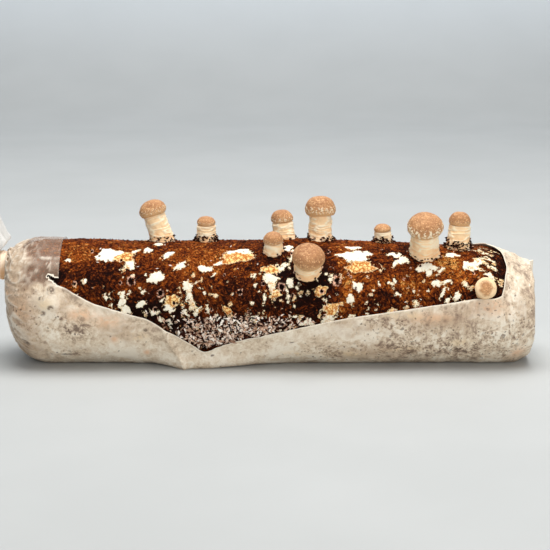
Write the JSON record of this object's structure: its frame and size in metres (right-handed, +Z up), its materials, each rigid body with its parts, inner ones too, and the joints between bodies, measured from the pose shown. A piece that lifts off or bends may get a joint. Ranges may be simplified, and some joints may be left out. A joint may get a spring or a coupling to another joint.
{
  "type": "shiitake grow block",
  "caption": "Brown sawdust log lying in its cut-open milky plastic bag, with young brown-capped mushrooms growing from the top and front.",
  "frame": {"origin": "on the surface that the log rests on, at the middle of its flattened underside", "axes": "+X along the log from the gathered neck to the sealed end, -Y out of the front that shows most of the open window, +Z up"},
  "size_m": [0.4706, 0.1067, 0.1305],
  "materials": {
    "substrate": "matte",
    "film": "satin",
    "band": "satin",
    "cap_skin": "matte",
    "stem_flesh": "matte"
  },
  "bodies": {
    "root": {"substrate_block": "substrate", "film_bag": "film", "neck_band": "band", "stem_1": "stem_flesh", "cap_1": "cap_skin", "stem_2": "stem_flesh", "cap_2": "cap_skin", "stem_3": "stem_flesh", "cap_3": "cap_skin", "stem_4": "stem_flesh", "cap_4": "cap_skin", "stem_5": "stem_flesh", "cap_5": "cap_skin", "stem_6": "stem_flesh", "cap_6": "cap_skin", "stem_7": "stem_flesh", "cap_7": "cap_skin", "stem_8": "stem_flesh", "cap_8": "cap_skin", "stem_9": "stem_flesh", "cap_9": "cap_skin", "stem_10": "stem_flesh", "cap_10": "cap_skin"}
  },
  "joints": []
}
